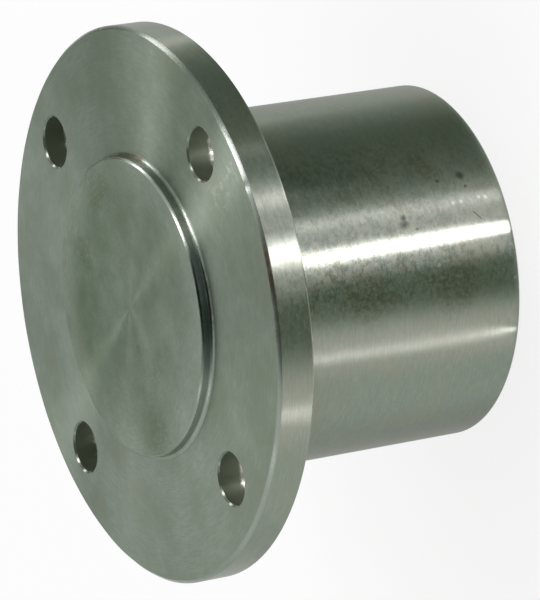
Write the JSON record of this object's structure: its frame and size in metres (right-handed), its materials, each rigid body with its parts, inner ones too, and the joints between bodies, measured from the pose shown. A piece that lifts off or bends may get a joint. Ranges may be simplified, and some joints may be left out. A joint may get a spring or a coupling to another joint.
{
  "type": "undrilled flange",
  "caption": "Turned steel flange: a round plate with a bolt circle and a low centring spigot, on a solid unbored cylindrical hub.",
  "frame": {"origin": "centre of the hub's flat end face, which is the bottom of the part", "axes": "+Z along the turning axis from the hub's end to the spigot; the bolt holes lie on the diagonals between X and Y"},
  "size_m": [0.065, 0.065, 0.0399],
  "materials": {
    "turned_steel": "bare steel as turned, with fine concentric tool marks and light handling stains"
  },
  "bodies": {
    "root": {"flange": "turned_steel"}
  },
  "joints": []
}
